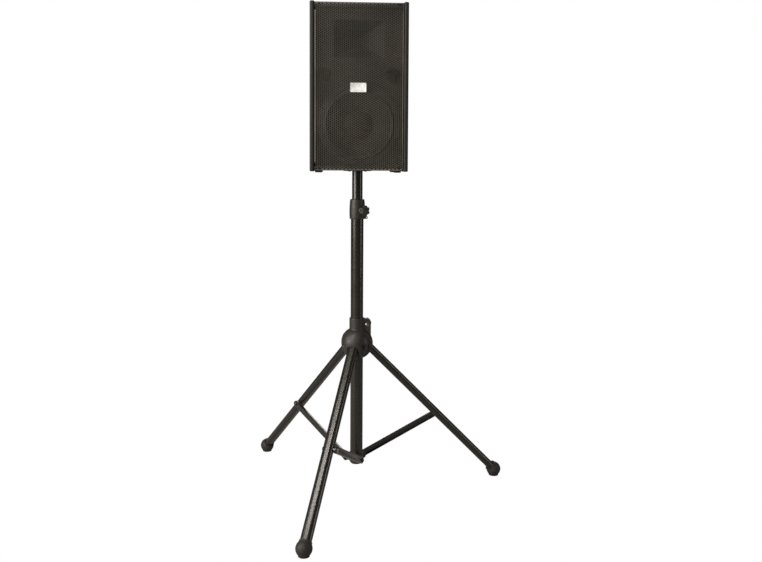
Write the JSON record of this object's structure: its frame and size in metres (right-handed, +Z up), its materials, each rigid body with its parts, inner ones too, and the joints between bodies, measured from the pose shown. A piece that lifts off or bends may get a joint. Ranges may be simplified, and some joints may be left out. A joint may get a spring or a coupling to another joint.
{
  "type": "pa loudspeaker on tripod stand",
  "caption": "Two-way PA loudspeaker with a full perforated grille on a folding telescopic tripod stand.",
  "frame": {"origin": "the mast's axis at floor level, between the three feet", "axes": "+Z up along the mast, -Y out of the grille, +X to the right seen from the front"},
  "size_m": [0.868, 0.8976, 1.6],
  "materials": {
    "stand_paint": "satin black powder coat with a soft sheen",
    "stand_plastic": "moulded glass-filled black plastic, fine texture",
    "nylon": "natural nylon",
    "zinc_steel": "zinc-plated steel",
    "foot_rubber": "matt moulded rubber",
    "cabinet_paint": "textured black spray coat on plywood",
    "grille_paint": "powder-coated perforated steel",
    "black_screws": "black oxide screws, pins and rivets",
    "badge_metal": "bright satin blank plate",
    "socket_plastic": "black moulded plastic",
    "basket_steel": "black coated pressed steel",
    "surround_rubber": "soft rubber roll",
    "cone_paper": "pressed paper cone with a grey dust cap",
    "magnet_ferrite": "ferrite and painted steel",
    "circuit_board": "green circuit board",
    "copper_coils": "enamelled copper windings",
    "capacitor_sleeve": "shrink sleeve",
    "wadding_fibre": "polyester wadding",
    "wire_insulation": "flexible wire insulation"
  },
  "bodies": {
    "mast": {"mast_outer_tube": "stand_paint", "mast_collar": "stand_plastic", "collar_bush": "nylon", "lower_bracket": "stand_plastic", "bracket_bolts": "black_screws", "mast_end_cap": "stand_plastic"},
    "collar_knob": {"collar_clamp_knob": "stand_plastic"},
    "pole_guide": {"pole_guide_bush": "nylon"},
    "pole": {"pole_tube": "stand_paint", "pole_top_cap": "stand_plastic"},
    "cabinet": {"side_panel_left": "cabinet_paint", "side_panel_right": "cabinet_paint", "top_panel": "cabinet_paint", "bottom_panel": "cabinet_paint", "rear_panel": "cabinet_paint", "front_baffle": "cabinet_paint", "grille_panel": "grille_paint", "grille_screws": "black_screws", "badge_plate": "badge_metal", "cabinet_feet": "foot_rubber", "pole_socket": "socket_plastic", "pole_socket_screws": "black_screws", "woofer_basket": "basket_steel", "woofer_surround": "surround_rubber", "woofer_magnet": "magnet_ferrite", "woofer_screws": "black_screws", "horn_flare": "socket_plastic", "horn_screws": "black_screws", "compression_driver": "magnet_ferrite", "port_tubes": "socket_plastic", "crossover_board": "circuit_board", "crossover_coils": "copper_coils", "crossover_capacitors": "capacitor_sleeve", "connector_plate": "socket_plastic", "speaker_sockets": "socket_plastic", "connector_screws": "black_screws", "carry_handle": "socket_plastic", "handle_screws": "black_screws", "damping_wadding": "wadding_fibre", "internal_wires": "wire_insulation"},
    "cone": {"woofer_cone": "cone_paper"},
    "hub": {"leg_hub": "stand_plastic", "leg_pivot_pins": "black_screws", "hub_clamp_bolt": "zinc_steel"},
    "hub_knob": {"hub_clamp_knob": "stand_plastic"},
    "leg_front": {"leg_tube_front": "stand_paint", "leg_foot_front": "foot_rubber"},
    "leg_right": {"leg_tube_right": "stand_paint", "leg_foot_right": "foot_rubber"},
    "leg_left": {"leg_tube_left": "stand_paint", "leg_foot_left": "foot_rubber"},
    "brace_front": {"brace_front": "stand_paint", "brace_rivet_front": "zinc_steel"},
    "brace_right": {"brace_right": "stand_paint", "brace_rivet_right": "black_screws"},
    "brace_left": {"brace_left": "stand_paint", "brace_rivet_left": "black_screws"}
  },
  "joints": [
    {"name": "collar_knob_turn", "type": "hinge", "parent": "mast", "child": "collar_knob", "pos_m": [0.024, -0.024, 0.944], "axis": [0.7071, -0.7071, 0], "continuous": true},
    {"name": "pole_height", "type": "slide", "parent": "mast", "child": "pole_guide", "axis": [0, 0, 1], "range_m": [-0.07, 0.5]},
    {"name": "pole_turn", "type": "hinge", "parent": "pole_guide", "child": "pole", "pos_m": [0, 0, 0.9], "axis": [0, 0, 1], "continuous": true},
    {"name": "speaker_lift_off", "type": "slide", "parent": "pole", "child": "cabinet", "axis": [0, 0, 1], "range_m": [0, 0.1]},
    {"name": "cone_travel", "type": "slide", "parent": "cabinet", "child": "cone", "axis": [0, -1, 0], "range_m": [-0.004, 0.004], "stiffness_N_per_m": 1500},
    {"name": "hub_fold", "type": "slide", "parent": "mast", "child": "hub", "axis": [0, 0, 1], "range_m": [0, 0.2699]},
    {"name": "hub_knob_turn", "type": "hinge", "parent": "hub", "child": "hub_knob", "pos_m": [0.033, 0.02, 0.562], "axis": [0, 1, 0], "continuous": true},
    {"name": "leg_hinge_front", "type": "hinge", "parent": "hub", "child": "leg_front", "pos_m": [-0.01128, -0.03313, 0.493], "axis": [0.9466, -0.3223, 0], "range_deg": [0, 40.61]},
    {"name": "leg_hinge_right", "type": "hinge", "parent": "hub", "child": "leg_right", "pos_m": [0.03433, 0.0068, 0.493], "axis": [-0.1942, 0.981, 0], "range_deg": [0, 40.61]},
    {"name": "leg_hinge_left", "type": "hinge", "parent": "hub", "child": "leg_left", "pos_m": [-0.02305, 0.02634, 0.493], "axis": [-0.7524, -0.6587, 0], "range_deg": [0, 40.61]},
    {"name": "brace_hinge_front", "type": "hinge", "parent": "mast", "child": "brace_front", "pos_m": [-0.00806, -0.02367, 0.108], "axis": [-0.9466, 0.3223, 0], "range_deg": [0, 57.74]},
    {"name": "brace_hinge_right", "type": "hinge", "parent": "mast", "child": "brace_right", "pos_m": [0.02452, 0.00486, 0.108], "axis": [0.1942, -0.981, 0], "range_deg": [0, 57.74]},
    {"name": "brace_hinge_left", "type": "hinge", "parent": "mast", "child": "brace_left", "pos_m": [-0.01647, 0.01881, 0.108], "axis": [0.7524, 0.6587, 0], "range_deg": [0, 57.74]}
  ],
  "couplings": [
    {"joint": "leg_hinge_front", "follows": "hub_fold", "rad_per_m": 2.6254},
    {"joint": "leg_hinge_right", "follows": "hub_fold", "rad_per_m": 2.6254},
    {"joint": "leg_hinge_left", "follows": "hub_fold", "rad_per_m": 2.6254},
    {"joint": "brace_hinge_front", "follows": "hub_fold", "rad_per_m": 3.7334},
    {"joint": "brace_hinge_right", "follows": "hub_fold", "rad_per_m": 3.7334},
    {"joint": "brace_hinge_left", "follows": "hub_fold", "rad_per_m": 3.7334}
  ]
}
